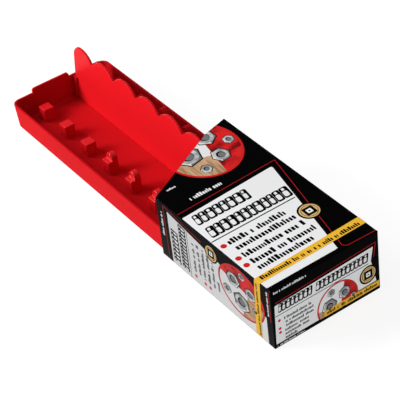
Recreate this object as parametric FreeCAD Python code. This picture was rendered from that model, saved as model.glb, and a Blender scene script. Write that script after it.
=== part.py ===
import FreeCAD, Part
import math
import os

# A socket organizer: a moulded drawer of standing posts and a scalloped label rack,
# held in a folded carton whose printed end covers about half of it.
# X runs along the drawer towards the carton's closed end, Y from the wide bay to the
# narrow bay, Z up. The origin is the middle of the whole length, on the surface it lies on.
# All lengths are in millimetres.

# Places for the sockets
place_count = 11
place_pitch = 22.0
plain_post_count = 3

# Moulded drawer
end_cut = 1.0
tray_wall = 1.4
tray_floor = 1.6
tray_height = 15.3
wide_bay = 38.7
narrow_bay = 19.9
base_inset = 1.0
corner_radius = 5.0
foot_round = 0.8
floor_round = 1.2
rim_round = 0.35

# Raised finger lip on the end that shows
lip_rise = 2.8
lip_width = 24.0
lip_from_near_side = 14.0
lip_round = 1.6
lip_setback = 0.12

# Slots that hold the rack's ends
guide_length = 4.0
guide_thickness = 1.2
guide_drop = 0.4

# Posts that fit a quarter inch square drive
drive_square = 6.3
near_post_height = 8.1
far_post_height = 19.1
post_ledge = 2.7
finger_rise = 3.9
post_round = 0.45
near_post_from_wall = 14.9
far_post_from_wall = 9.4

# Scalloped label rack
rack_thickness = 1.4
rack_valley_height = 28.3
lobe_rise = 5.3
rack_lean = 3.3
rack_foot_round = 4.0
rack_corner_round = 2.6
rack_end_clearance = 0.25

# Folded carton
board = 0.5
side_clearance = 0.3
head_clearance = 0.4
end_clearance = 0.3
near_cover = 92.5
far_cover = 122.5
kink_width_share = 0.76
kink_reach_share = 0.85
glue_flap_width = 12.0
glue_flap_taper = 5.0
dust_flap_reach = 24.0
dust_flap_taper = 3.0
inner_end_flap_height = 24.0
flap_edge_gap = 0.3

# Sheets of size labels that lie on the drawer's floor
strip_length = 97.0
strip_liner = 0.2
strip_label = 0.15
strip_to_post = 1.2
strip_to_guide = 0.25
strip_to_end = 4.0
label_count = 11
label_rows = 2
label_gap = 1.2
label_round = 1.5

# Places and sizes that follow from the sizes above
tray_length = place_count * place_pitch - 2 * end_cut
tray_width = 2 * tray_wall + wide_bay + rack_thickness + narrow_bay
tray_end_x = -(tray_length + end_clearance + 3 * board) / 2
closed_end_x = -tray_end_x
tray_mid_x = tray_end_x + tray_length / 2
tray_near_y = -tray_width / 2
tray_bottom_z = board
tray_rim_z = tray_bottom_z + tray_height
floor_z = tray_bottom_z + tray_floor
inner_near_y = tray_near_y + tray_wall
inner_far_y = -inner_near_y
rack_near_y = inner_near_y + wide_bay
rack_top_z = floor_z + rack_valley_height + lobe_rise
draft_share = base_inset / tray_height
first_place_x = tray_end_x - end_cut + place_pitch / 2
near_post_y = inner_near_y + near_post_from_wall
far_post_y = inner_far_y - far_post_from_wall
carton_width = tray_width + 2 * side_clearance + 2 * board
carton_height = rack_top_z + head_clearance + board
strip_near_y = near_post_y + drive_square / 2 + strip_to_post
strip_width = rack_near_y - guide_thickness - strip_to_guide - strip_near_y


def place_x(index):
    """Middle of one socket place along the drawer, counted from the end that shows."""
    return first_place_x + index * place_pitch


def box(low, high):
    """A block between two opposite corners."""
    size = [high[i] - low[i] for i in range(3)]
    return Part.makeBox(size[0], size[1], size[2], FreeCAD.Vector(*low))


def face_from_points(points):
    """A flat face with straight edges through the points."""
    corners = [FreeCAD.Vector(*point) for point in points]
    return Part.Face(Part.makePolygon(corners + [corners[0]]))


def rounded_rectangle(length, width, radius, z):
    """The wire of a level rectangle with round corners, centred on the drawer."""
    half_x = length / 2 - radius
    half_y = width / 2 - radius
    edges = []
    signs = [(1, 1), (-1, 1), (-1, -1), (1, -1)]
    points = []
    for turn, (sx, sy) in enumerate(signs):
        centre = FreeCAD.Vector(tray_mid_x + sx * half_x, sy * half_y, z)
        arc_points = []
        for step in range(3):
            angle = math.radians(90 * turn + 45 * step)
            offset = FreeCAD.Vector(math.cos(angle), math.sin(angle), 0) * radius
            arc_points.append(centre + offset)
        points.append(arc_points)
    for turn in range(len(signs)):
        start, middle, end = points[turn]
        following = points[(turn + 1) % len(signs)][0]
        edges.append(Part.Arc(start, middle, end).toShape())
        edges.append(Part.LineSegment(end, following).toShape())
    return Part.Wire(edges)


def drafted_block(inset, low_z, high_z):
    """A block inside the drawer's outer faces by an inset, with the walls' draft."""
    wires = []
    for z in (low_z, high_z):
        draw_in = inset + draft_share * (tray_rim_z - z)
        length = tray_length - 2 * draw_in
        width = tray_width - 2 * draw_in
        wires.append(rounded_rectangle(length, width, corner_radius - draw_in, z))
    return Part.makeLoft(wires, True, True)


def edges_at_height(shape, z):
    """Every edge that lies level at one height."""
    found = []
    for edge in shape.Edges:
        if abs(edge.BoundBox.ZMin - z) + abs(edge.BoundBox.ZMax - z) < rim_round / 100:
            found.append(edge)
    return found


def tray_shell():
    """Floor and four drafted walls with a rounded rim."""
    outside = drafted_block(0, tray_bottom_z, tray_rim_z)
    outside = outside.makeFillet(foot_round, edges_at_height(outside, tray_bottom_z))
    inside = drafted_block(tray_wall, floor_z, tray_rim_z)
    inside = inside.makeFillet(floor_round, edges_at_height(inside, floor_z))
    shell = outside.cut(inside)
    return shell.makeFillet(rim_round, edges_at_height(shell, tray_rim_z))


def finger_lip():
    """The raised stretch of the end wall, with rounded upper corners."""
    low_y = tray_near_y + lip_from_near_side
    low_z = tray_rim_z - tray_wall
    high_z = tray_rim_z + lip_rise
    thickness = tray_wall - 2 * lip_setback
    start_x = tray_end_x + lip_setback
    lip = box((start_x, low_y, low_z), (start_x + thickness, low_y + lip_width, high_z))
    corners = []
    for edge in lip.Edges:
        level = abs(edge.BoundBox.ZMin - high_z) + abs(edge.BoundBox.ZMax - high_z)
        along_x = edge.BoundBox.XLength > thickness / 2
        if level < lip_setback and along_x:
            corners.append(edge)
    return lip.makeFillet(lip_round, corners)


def rack_face_y(z):
    """Where the rack's leaning near face stands at a height."""
    return rack_near_y + rack_lean * (z - floor_z) / (rack_top_z - floor_z)


def guide_rib(x, length, offset):
    """A rib on an end wall that leans with the rack, set off from its near face."""
    low_z = floor_z - tray_floor / 2
    high_z = tray_rim_z - guide_drop
    corners = [
        (x, rack_face_y(low_z) + offset, low_z),
        (x, rack_face_y(low_z) + offset + guide_thickness, low_z),
        (x, rack_face_y(high_z) + offset + guide_thickness, high_z),
        (x, rack_face_y(high_z) + offset, high_z),
    ]
    return face_from_points(corners).extrude(FreeCAD.Vector(length, 0, 0))


def rack_guides():
    """Pairs of short ribs on both end walls, with the rack's end between them."""
    guides = []
    length = guide_length + tray_wall / 2
    near_x = tray_end_x + tray_wall / 2
    far_x = tray_end_x + tray_length - tray_wall / 2 - length
    for x in (near_x, far_x):
        guides.append(guide_rib(x, length, -guide_thickness))
        guides.append(guide_rib(x, length, rack_thickness))
    return guides


def drawer_tray():
    """The whole moulded tray: shell, finger lip and rack guides."""
    return tray_shell().fuse([finger_lip()] + rack_guides()).removeSplitter()


def rounded_upright(shape, radius):
    """Round a block's edges, all but those on the floor."""
    chosen = [edge for edge in shape.Edges if edge.BoundBox.ZMax > floor_z + radius]
    return shape.makeFillet(radius, chosen)


def plain_post(x, y, height):
    """A square post with a flat top."""
    half = drive_square / 2
    block = box((x - half, y - half, floor_z), (x + half, y + half, floor_z + height))
    return rounded_upright(block, post_round)


def stepped_post(x, y, height):
    """A square post with a ledge in front of a finger that has a round top."""
    half = drive_square / 2
    step_y = y - half + post_ledge
    ledge = box((x - half, y - half, floor_z), (x + half, step_y, floor_z + height))
    crown_z = floor_z + height + finger_rise
    shoulder_z = crown_z - half
    left = FreeCAD.Vector(x - half, step_y, floor_z)
    right = FreeCAD.Vector(x + half, step_y, floor_z)
    shoulder_left = FreeCAD.Vector(x - half, step_y, shoulder_z)
    shoulder_right = FreeCAD.Vector(x + half, step_y, shoulder_z)
    crown = FreeCAD.Vector(x, step_y, crown_z)
    edges = [
        Part.LineSegment(left, shoulder_left).toShape(),
        Part.Arc(shoulder_left, crown, shoulder_right).toShape(),
        Part.LineSegment(shoulder_right, right).toShape(),
        Part.LineSegment(right, left).toShape(),
    ]
    depth = drive_square - post_ledge
    finger = Part.Face(Part.Wire(edges)).extrude(FreeCAD.Vector(0, depth, 0))
    return rounded_upright(ledge.fuse(finger).removeSplitter(), post_round)


def socket_posts(y, height):
    """One row of separate posts, plain at the end that shows and stepped after that."""
    posts = []
    for index in range(place_count):
        shape_post = plain_post if index < plain_post_count else stepped_post
        posts.append(shape_post(place_x(index), y, height))
    return Part.makeCompound(posts)


def lobe_height(distance):
    """Height of a lobe's arc over the valleys, at a distance from the lobe's middle."""
    half_chord = place_pitch / 2
    radius = (half_chord ** 2 + lobe_rise ** 2) / (2 * lobe_rise)
    return math.sqrt(radius ** 2 - distance ** 2) - (radius - lobe_rise)


def rack_edges(start_x, end_x):
    """The leaning outline: rounded foot corners, upright ends and one arc for each lobe."""
    valley_z = floor_z + rack_valley_height
    half = place_pitch / 2

    def point(x, z):
        return FreeCAD.Vector(x, rack_face_y(z), z)

    def top_point(x, middle_x):
        return point(x, valley_z + lobe_height(x - middle_x))

    edges = []
    last = None
    for index in range(place_count):
        middle_x = place_x(index)
        low_x = max(middle_x - half, start_x)
        high_x = min(middle_x + half, end_x)
        arc = Part.Arc(
            top_point(low_x, middle_x),
            top_point((low_x + high_x) / 2, middle_x),
            top_point(high_x, middle_x),
        )
        edges.append(arc.toShape())
        last = top_point(high_x, middle_x)
    r = rack_foot_round
    slant = r * (1 - math.sqrt(0.5))
    foot_right = point(end_x, floor_z + r)
    foot_right_in = point(end_x - r, floor_z)
    foot_left_in = point(start_x + r, floor_z)
    foot_left = point(start_x, floor_z + r)
    edges.append(Part.LineSegment(last, foot_right).toShape())
    middle = point(end_x - slant, floor_z + slant)
    edges.append(Part.Arc(foot_right, middle, foot_right_in).toShape())
    edges.append(Part.LineSegment(foot_right_in, foot_left_in).toShape())
    middle = point(start_x + slant, floor_z + slant)
    edges.append(Part.Arc(foot_left_in, middle, foot_left).toShape())
    first = top_point(start_x, place_x(0))
    edges.append(Part.LineSegment(foot_left, first).toShape())
    return edges


def label_rack():
    """The plate that leans back a little, with one round lobe for each socket place."""
    draw_in = draft_share * (tray_rim_z - floor_z)
    inset = tray_wall + draw_in + rack_end_clearance
    start_x = tray_end_x + inset
    end_x = tray_end_x + tray_length - inset
    profile = Part.Face(Part.Wire(rack_edges(start_x, end_x)))
    plate = profile.extrude(FreeCAD.Vector(0, rack_thickness, 0))
    valley_z = floor_z + rack_valley_height
    corners = []
    for edge in plate.Edges:
        place = edge.CenterOfMass
        over_valley = place.z > valley_z
        at_an_end = min(place.x - start_x, end_x - place.x) < rack_end_clearance
        if over_valley and at_an_end and edge.BoundBox.YLength > rack_thickness / 2:
            corners.append(edge)
    return plate.makeFillet(rack_corner_round, corners)


def opening_outline(z):
    """Outline of the carton's top or bottom panel, with the slanted opening edge."""
    half = carton_width / 2
    kink_y = -half + kink_width_share * carton_width
    kink_reach = near_cover + kink_reach_share * (far_cover - near_cover)
    return [
        (closed_end_x - near_cover, -half, z),
        (closed_end_x - kink_reach, kink_y, z),
        (closed_end_x - far_cover, half, z),
    ]


def level_panel(z, end_x):
    """A level panel of board from the slanted opening edge to the closed end."""
    half = carton_width / 2
    points = opening_outline(z) + [(end_x, half, z), (end_x, -half, z)]
    return face_from_points(points).extrude(FreeCAD.Vector(0, 0, board))


def carton_top_panel():
    """The printed top, which runs over the end flaps."""
    return level_panel(carton_height - board, closed_end_x)


def carton_bottom_panel():
    """The bottom, whose end folds up as the inner end flap."""
    return level_panel(0, closed_end_x - board)


def carton_side_panel(side, cover):
    """One upright side between the top and the bottom."""
    outer = side * carton_width / 2
    inner = outer - side * board
    ys = sorted((outer, inner))
    low = (closed_end_x - cover, ys[0], board)
    high = (closed_end_x - 2 * board, ys[1], carton_height - board)
    return box(low, high)


def carton_glue_flap():
    """The flap from the top panel that is glued inside the far side."""
    y = carton_width / 2 - 2 * board
    top_z = carton_height - board
    low_z = top_z - glue_flap_width
    start_x = closed_end_x - far_cover + flap_edge_gap
    end_x = closed_end_x - 3 * board - flap_edge_gap
    points = [
        (start_x, y, top_z),
        (start_x + glue_flap_taper, y, low_z),
        (end_x - glue_flap_taper, y, low_z),
        (end_x, y, top_z),
    ]
    return face_from_points(points).extrude(FreeCAD.Vector(0, board, 0))


def carton_outer_end_flap():
    """The printed end, folded down from the top and glued over the others."""
    half = carton_width / 2
    low = (closed_end_x - board, -half, flap_edge_gap)
    high = (closed_end_x, half, carton_height - board)
    return box(low, high)


def carton_inner_end_flap():
    """The flap folded up from the bottom panel, behind the printed end."""
    half = carton_width / 2 - flap_edge_gap
    low = (closed_end_x - 2 * board, -half, board)
    high = (closed_end_x - board, half, board + inner_end_flap_height)
    return box(low, high)


def carton_dust_flap(side):
    """A tapered flap folded in from one side panel."""
    fold_y = side * (carton_width / 2)
    tip_y = fold_y - side * dust_flap_reach
    x = closed_end_x - 3 * board
    low_z = board + flap_edge_gap
    high_z = carton_height - board - flap_edge_gap
    root_y = fold_y - side * board
    points = [
        (x, root_y, low_z),
        (x, tip_y, low_z + dust_flap_taper),
        (x, tip_y, high_z - dust_flap_taper),
        (x, root_y, high_z),
    ]
    return face_from_points(points).extrude(FreeCAD.Vector(board, 0, 0))


def strip_corner(level):
    """Lowest corner of a label sheet, at its level in the stack."""
    x = tray_end_x + tray_length - tray_wall - strip_to_end - strip_length
    z = floor_z + level * (strip_liner + strip_label)
    return (x, strip_near_y, z)


def label_liner(level):
    """The backing sheet that the size labels are peeled from."""
    x, y, z = strip_corner(level)
    return box((x, y, z), (x + strip_length, y + strip_width, z + strip_liner))


def size_labels(level):
    """The stickers on one backing sheet, in rows along it."""
    x, y, z = strip_corner(level)
    length = (strip_length - label_gap) / label_count - label_gap
    width = (strip_width - label_gap) / label_rows - label_gap
    labels = []
    for row in range(label_rows):
        for column in range(label_count):
            low_x = x + label_gap + column * (length + label_gap)
            low_y = y + label_gap + row * (width + label_gap)
            low_z = z + strip_liner
            label = box((low_x, low_y, low_z), (low_x + length, low_y + width, low_z + strip_label))
            upright = [edge for edge in label.Edges if edge.BoundBox.ZLength > strip_label / 2]
            labels.append(label.makeFillet(label_round, upright))
    return Part.makeCompound(labels)


def make_parts():
    """Every separate piece by its name."""
    return {
        "drawer_tray": drawer_tray(),
        "label_rack": label_rack(),
        "near_socket_posts": socket_posts(near_post_y, near_post_height),
        "far_socket_posts": socket_posts(far_post_y, far_post_height),
        "carton_top_panel": carton_top_panel(),
        "carton_bottom_panel": carton_bottom_panel(),
        "carton_near_side_panel": carton_side_panel(-1, near_cover),
        "carton_far_side_panel": carton_side_panel(1, far_cover),
        "carton_glue_flap": carton_glue_flap(),
        "carton_outer_end_flap": carton_outer_end_flap(),
        "carton_inner_end_flap": carton_inner_end_flap(),
        "carton_near_dust_flap": carton_dust_flap(-1),
        "carton_far_dust_flap": carton_dust_flap(1),
        "inch_label_liner": label_liner(0),
        "inch_size_labels": size_labels(0),
        "metric_label_liner": label_liner(1),
        "metric_size_labels": size_labels(1),
    }


def main():
    """Write one file for each piece."""
    os.makedirs("parts", exist_ok=True)
    for name, shape in make_parts().items():
        if not shape.isValid():
            raise RuntimeError(name + " is not a valid shape")
        shape.exportStep("parts/" + name + ".step")
        print(name, len(shape.Solids), "solids", round(shape.Volume, 1), "cubic mm")


main()
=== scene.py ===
# %% [markdown]
# A socket organizer in its carton. The real thing is a long red tray, moulded in one piece with
# its finger lip, a row of square posts in each bay, and a tall plate with one round lobe for
# each socket. It is pushed into a folded, printed carton with a slanted opening.
# The tray, posts and hidden flaps come from the construction model and only get a finish here.
# The carton, the lobed plate and all of the print are made below, in metres and in place.

import math

import bmesh
import bpy
from mathutils import Matrix, Quaternion, Vector


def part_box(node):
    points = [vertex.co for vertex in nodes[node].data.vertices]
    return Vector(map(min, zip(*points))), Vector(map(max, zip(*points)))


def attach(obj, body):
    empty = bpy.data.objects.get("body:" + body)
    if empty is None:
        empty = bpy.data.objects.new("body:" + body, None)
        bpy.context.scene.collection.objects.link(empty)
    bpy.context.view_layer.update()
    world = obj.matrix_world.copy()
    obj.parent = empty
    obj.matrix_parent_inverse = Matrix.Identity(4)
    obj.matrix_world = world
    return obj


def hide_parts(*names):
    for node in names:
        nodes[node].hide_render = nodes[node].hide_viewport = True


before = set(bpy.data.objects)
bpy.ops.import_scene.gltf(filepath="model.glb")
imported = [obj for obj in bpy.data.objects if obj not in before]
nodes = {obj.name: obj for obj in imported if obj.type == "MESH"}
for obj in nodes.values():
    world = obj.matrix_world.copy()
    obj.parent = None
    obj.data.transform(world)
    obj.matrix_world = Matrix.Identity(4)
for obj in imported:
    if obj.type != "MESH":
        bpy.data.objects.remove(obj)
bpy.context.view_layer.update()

# %% [markdown]
# Sizes are easiest to read in millimetres, as on a drawing, while the scene is in metres.
# One factor turns the first into the second, and every size below is written with it. The
# places of the big pieces are read from the construction model, so nothing has to be fitted.

# %% Sizes that are read from the model
mm = 0.001

tray_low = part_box("drawer_tray")[0]
rack_low, rack_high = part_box("label_rack")
top_low, top_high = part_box("carton_top_panel")

near_y = top_low.y
far_y = top_high.y
closed_x = top_high.x
carton_top = top_high.z
board = top_high.z - top_low.z
carton_width = far_y - near_y
near_cover = closed_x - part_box("carton_near_side_panel")[0].x
far_cover = closed_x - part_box("carton_far_side_panel")[0].x
flap_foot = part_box("carton_outer_end_flap")[0].z
print("carton", round(carton_width / mm, 1), "mm wide, board", round(board / mm, 2), "mm thick")

# %% [markdown]
# Both node editors, for shapes and for finishes, are graphs of small boxes joined by wires.
# Written box by box, a sum of two masks takes four lines. So one small class stands for a
# wire: adding, taking away, multiplying or dividing two wires adds the Math box that does it.
# Every other box comes from one method, which sets its options first and then its inputs.

# %% Wires and graphs
class Wire:
    """One output of a node. Sums and products of wires add the Math nodes that work them out."""

    def __init__(self, graph, socket):
        self.graph = graph
        self.socket = socket

    def __add__(self, other):
        return self.graph.math("ADD", self, other)

    def __radd__(self, other):
        return self.graph.math("ADD", other, self)

    def __sub__(self, other):
        return self.graph.math("SUBTRACT", self, other)

    def __rsub__(self, other):
        return self.graph.math("SUBTRACT", other, self)

    def __mul__(self, other):
        return self.graph.math("MULTIPLY", self, other)

    def __rmul__(self, other):
        return self.graph.math("MULTIPLY", other, self)

    def __truediv__(self, other):
        return self.graph.math("DIVIDE", self, other)


class Graph:
    """A node tree that is being written."""

    def __init__(self, tree):
        self.tree = tree

    def node(self, kind, values=None, out=0, stops=(), **options):
        """Add one node: its options and stops first, then its inputs. Returns one output."""
        made = self.tree.nodes.new(kind)
        for name, value in options.items():
            setattr(made, name, value)
        for index, position in enumerate(stops):
            made.color_ramp.elements[index].position = position
        for key, value in (values or {}).items():
            self.feed(made.inputs[key], value)
        return Wire(self, made.outputs[out]) if made.outputs else None

    def feed(self, socket, value):
        """Join a wire, or a list of them, to an input, or set the input to a plain value."""
        if isinstance(value, Wire):
            self.tree.links.new(value.socket, socket)
        elif isinstance(value, list):
            for wire in value:
                self.tree.links.new(wire.socket, socket)
        else:
            socket.default_value = value

    def math(self, operation, first, second=0.0):
        """One Math node."""
        return self.node("ShaderNodeMath", {0: first, 1: second}, operation=operation)

    def point(self, x, y, z):
        """Three numbers as one vector."""
        return self.node("ShaderNodeCombineXYZ", {"X": x, "Y": y, "Z": z})

    def outputs(self, wire):
        """All the outputs of the node that a wire comes from, by their names."""
        return {output.name: Wire(self, output) for output in wire.socket.node.outputs}

    def axes(self, vector):
        """The X, Y and Z of a vector, as three wires."""
        return list(self.outputs(self.node("ShaderNodeSeparateXYZ", {0: vector})).values())

    def mix(self, share, first, second):
        """A colour between two colours, each a wire or three numbers."""
        shades = [shade if isinstance(shade, Wire) else (*shade, 1.0) for shade in (first, second)]
        values = {0: share, 6: shades[0], 7: shades[1]}
        return self.node("ShaderNodeMix", values, out=2, data_type="RGBA")

    def rise(self, value, low, high):
        """What climbs from 0 to 1 while a value goes from low to high."""
        return self.node("ShaderNodeValToRGB", {0: value}, stops=(low, high))

    def chance(self, low, high, seed):
        """A random number for each point, between low and high."""
        values = {2: low, 3: high, "Seed": seed}
        return self.node("FunctionNodeRandomValue", values, out=1, data_type="FLOAT")


print("wires and graphs are ready")

# %% [markdown]
# A shape graph becomes a plain mesh before anything else sees it. The helper below puts the
# tree on an empty mesh, sets its inputs by their identifiers, evaluates it once and keeps the
# result as a new mesh. So each piece ends as ordinary faces, with nothing left to recompute.

# %% From a shape graph to a mesh
def shape_graph(name, numbers, counts):
    """A geometry tree with named inputs, one a material. Returns the graph and its inputs."""
    tree = bpy.data.node_groups.new(name, "GeometryNodeTree")
    kinds = {label: "NodeSocketFloat" for label in numbers}
    kinds.update({label: "NodeSocketInt" for label in counts}, Material="NodeSocketMaterial")
    for label, kind in kinds.items():
        tree.interface.new_socket(label, in_out="INPUT", socket_type=kind)
    tree.interface.new_socket("Geometry", in_out="OUTPUT", socket_type="NodeSocketGeometry")
    graph = Graph(tree)
    return graph, graph.outputs(graph.node("NodeGroupInput"))


def end_graph(graph, shape, material):
    """Close the tree: real faces only, and one finish on all of them."""
    solid = graph.node("GeometryNodeRealizeInstances", {"Geometry": shape})
    dressed = graph.node("GeometryNodeSetMaterial", {"Geometry": solid, "Material": material})
    graph.node("NodeGroupOutput", {0: dressed})


def thick(graph, flat, thickness, direction=None):
    """Turn flat faces into closed plates: the extruded faces, with a flipped copy as the back."""
    values = {"Mesh": flat, "Offset Scale": thickness, "Individual": False}
    if direction is not None:
        values["Offset"] = direction
    raised = graph.node("GeometryNodeExtrudeMesh", values)
    back = graph.node("GeometryNodeFlipFaces", {"Mesh": flat})
    joined = graph.node("GeometryNodeJoinGeometry", {0: [back, raised]})
    near_enough = 0.001 * mm
    values = {"Geometry": joined, "Distance": near_enough}
    return graph.node("GeometryNodeMergeByDistance", values)


def new_object(name, data):
    """A new object in the scene."""
    made = bpy.data.objects.new(name, data)
    bpy.context.scene.collection.objects.link(made)
    return made


def evaluated(carrier):
    """The plain mesh that an object's type or modifiers make."""
    seen = carrier.evaluated_get(bpy.context.evaluated_depsgraph_get())
    return bpy.data.meshes.new_from_object(seen)


def grow(name, graph, settings):
    """Evaluate a shape graph once and return the plain mesh that it makes."""
    carrier = new_object(name, bpy.data.meshes.new(name))
    modifier = carrier.modifiers.new("shape", "NODES")
    modifier.node_group = graph.tree
    for item in graph.tree.interface.items_tree:
        if item.in_out == "INPUT" and item.name in settings:
            modifier[item.identifier] = settings[item.name]
    mesh = evaluated(carrier)
    carrier.modifiers.remove(modifier)
    bpy.data.objects.remove(carrier)
    return mesh


def one_finish(name, made, material):
    """A plain mesh with one finish on all of its faces, from a mesh that is being edited."""
    mesh = bpy.data.meshes.new(name)
    made.to_mesh(mesh)
    made.free()
    mesh.materials.clear()
    mesh.materials.append(material)
    return mesh


def piece(name, mesh, body, slot, *replaced):
    """Put a finished mesh into the scene, on its body. Its slot is not used."""
    made = new_object(name, mesh)
    mesh.name = name
    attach(made, body)
    if replaced:
        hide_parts(*replaced)
    print(name + ":", len(mesh.vertices), "points,", len(mesh.polygons), "faces")
    return made


print("shape graphs can be turned into pieces")

# %% [markdown]
# The tray and its rack are a satin polystyrene, moulded in a strong red. Such plastic isn't a
# flat colour: the mould leaves a very fine grain, the wall cools unevenly so that the shine
# wanders a little, and handling leaves faint hairlines. All of these are small, so they go
# into roughness and bump, and the colour itself moves by only a few percent. The near posts
# shine more than the walls, because sockets are pushed over them again and again. The tray's
# red is a little deeper than the rack's: a painted shade that darkens its walls and floor.

# %% Start of a finish
def finish(name, colour, roughness, specular=0.5):
    """A new material with its shader, graph and a wire that holds the place on the piece."""
    material = bpy.data.materials.new(name)
    material.use_nodes = True
    graph = Graph(material.node_tree)
    shader = material.node_tree.nodes["Principled BSDF"]
    shader.inputs["Base Color"].default_value = (*colour, 1.0)
    shader.inputs["Roughness"].default_value = roughness
    shader.inputs["Specular IOR Level"].default_value = specular
    place = graph.node("ShaderNodeTexCoord", out="Object")
    return material, graph, shader, place


def noise(graph, place, size, detail=3.0, roughness=0.5, squeeze=None):
    """Soft noise from 0 to 1 whose features are about as large as the size given."""
    if squeeze is not None:
        place = graph.node("ShaderNodeMapping", {"Vector": place, "Scale": squeeze})
    values = {"Vector": place, "Scale": 1 / size, "Detail": detail, "Roughness": roughness}
    return graph.node("ShaderNodeTexNoise", values)


def surface(graph, shader, colour, roughness, height, depth):
    """Feed a shader its colour and roughness, and let a height from 0 to 1 stand out by a depth."""
    values = {"Height": height, "Distance": depth, "Strength": 1.0}
    bump = graph.node("ShaderNodeBump", values)
    for name, wire in (("Base Color", colour), ("Roughness", roughness), ("Normal", bump)):
        graph.feed(shader.inputs[name], wire)


print("finishes can be started")


# %% Red moulded plastic
def toned(colour, strength):
    """A colour made stronger or weaker."""
    return tuple(strength * value for value in colour)


def red_plastic(name, roughness, specular, strength):
    """Moulded plastic with a fine mould grain, wandering shine and faint hairlines."""
    deep = toned((0.60, 0.007, 0.011), strength)
    bright = toned((0.68, 0.009, 0.014), strength)
    material, graph, shader, place = finish(name, bright, roughness, specular=specular)
    cloud = noise(graph, place, 45 * mm)
    grain = noise(graph, place, 0.45 * mm, detail=2.0)
    streaks = noise(graph, place, 1.1 * mm, squeeze=(0.06, 1.0, 1.0))
    hairline = graph.rise(streaks, 0.66, 0.72)
    colour = graph.mix(cloud, deep, bright)
    shine = roughness - 0.05 + 0.08 * cloud + 0.04 * grain + 0.05 * hairline
    surface(graph, shader, colour, shine, grain - 0.15 * hairline, 0.012 * mm)
    return material


# Painted shade: the tray's lower strength makes its walls and floor darker than the rack and the
# posts.
red = red_plastic("satin red plastic", 0.38, 0.004, 0.80)
rack_red = red_plastic("smooth red plastic", 0.34, 0.045, 1.05)
post_red = red_plastic("polished red plastic", 0.22, 0.30, 1.0)
print("finishes:", red.name, "/", rack_red.name, "/", post_red.name)

# %% [markdown]
# The carton is thin bleached board. Outside it is printed and varnished, so the black ground
# has a sharp, slightly wavy shine, and along the folds the ink cracks and shows pale fibres.
# Inside and on its cut edges the board is bare: pale, matt, with short fibres that lie mostly
# along the grain. The fold's wear depends on how near a point is to a fold, so it is worked
# out from the place on the piece.

# %% Bare board
fold_radius = 0.5 * mm


def bare_board():
    """Uncoated board: pale, matt, with long and short fibres."""
    pale = (0.70, 0.665, 0.60)
    dull = (0.56, 0.525, 0.46)
    material, graph, shader, place = finish("bare board", pale, 0.85)
    fibres = noise(graph, place, 0.8 * mm, detail=4.0, squeeze=(0.25, 1.0, 1.0))
    mottle = noise(graph, place, 9 * mm)
    colour = graph.mix(0.6 * fibres + 0.4 * mottle, dull, pale)
    surface(graph, shader, colour, 0.78 + 0.14 * fibres, fibres, 0.02 * mm)
    return material


plain_board = bare_board()
print("finish:", plain_board.name)


# %% Printed black ground
print_black = (0.0014, 0.0014, 0.0017)


def distance_to(graph, along, line):
    """How far a point is from a plane, across it."""
    return graph.math("ABSOLUTE", along - line)


def near_fold(graph, place, reach):
    """A mask that is 1 on the carton's long folds and 0 further away than a reach."""
    y, z = graph.axes(place)[1:]
    to_side = graph.math("MINIMUM", distance_to(graph, y, near_y), distance_to(graph, y, far_y))
    to_level = graph.math("MINIMUM", distance_to(graph, z, 0.0), distance_to(graph, z, carton_top))
    away = graph.math("MAXIMUM", to_side, to_level)
    return graph.math("MAXIMUM", 1 - away / reach, 0.0)


def printed_ground():
    """Varnished black print on board, cracked along the folds."""
    fibre = (0.30, 0.28, 0.25)
    material, graph, shader, place = finish("varnished black print", print_black, 0.3, 0.01)
    wear = near_fold(graph, place, 1.1 * fold_radius)
    specks = noise(graph, place, 0.6 * mm, detail=5.0, roughness=0.65)
    worn = wear * graph.rise(specks, 0.58, 0.66)
    wave = noise(graph, place, 6 * mm)
    board_grain = noise(graph, place, 0.7 * mm, detail=2.0)
    colour = graph.mix(worn, print_black, fibre)
    height = 0.7 * wave + 0.3 * board_grain - 0.6 * worn
    surface(graph, shader, colour, 0.24 + 0.10 * wave + 0.35 * worn, height, 0.012 * mm)
    return material


black_ground = printed_ground()
print("finish:", black_ground.name)

# %% [markdown]
# The carton is one blank of board, folded round the tray. Its outer corners aren't sharp: the
# board bends on a radius of about its own thickness. A loop of points round the cross-section,
# outside and inside, gives the tube, and each point of the loop starts at its own place along
# X, because the opening edge slants across the top and steps near the far side. The closed end
# is a flap that the top panel folds down into, so its upper edge has the same round fold.

# %% Where the opening edge runs
kink_width_share = 0.76
kink_reach_share = 0.85
kink_y = near_y + kink_width_share * carton_width
kink_cover = near_cover + kink_reach_share * (far_cover - near_cover)
opening = [(near_y, near_cover), (kink_y, kink_cover), (far_y, far_cover)]


def open_x(y):
    """Where the carton starts along X, at a place across it."""
    (y0, c0), (y1, c1), (y2, c2) = opening
    if y < y1:
        return closed_x - (c0 + (c1 - c0) * (y - y0) / (y1 - y0))
    return closed_x - (c1 + (c2 - c1) * (y - y1) / (y2 - y1))


print("opening edge from", round(open_x(near_y) / mm, 1), "to", round(open_x(far_y) / mm, 1), "mm")

# %% Cross-section of the carton
ink_layers = 12
ink_step = 0.010 * mm
ink_depth = ink_layers * ink_step
fold_steps = 6
level_steps = 24


def cross_section(inset, radius):
    """Points round the tube, inset from its outer box, with a rounded fold at each corner."""
    low_y = near_y + inset
    high_y = far_y - inset
    low_z = inset
    high_z = carton_top - inset
    corners = [
        (low_y + radius, high_z - radius, 90),
        (low_y + radius, low_z + radius, 180),
        (high_y - radius, low_z + radius, 270),
        (high_y - radius, high_z - radius, 0),
    ]
    loop = []
    for cy, cz, start in corners:
        for step in range(fold_steps + 1):
            angle = math.radians(start + 90 * step / fold_steps)
            loop.append((cy + radius * math.cos(angle), cz + radius * math.sin(angle)))
        if start in (180, 0):
            loop.extend(level_points(loop[-1], start, low_y + radius, high_y - radius))
    return loop


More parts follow.
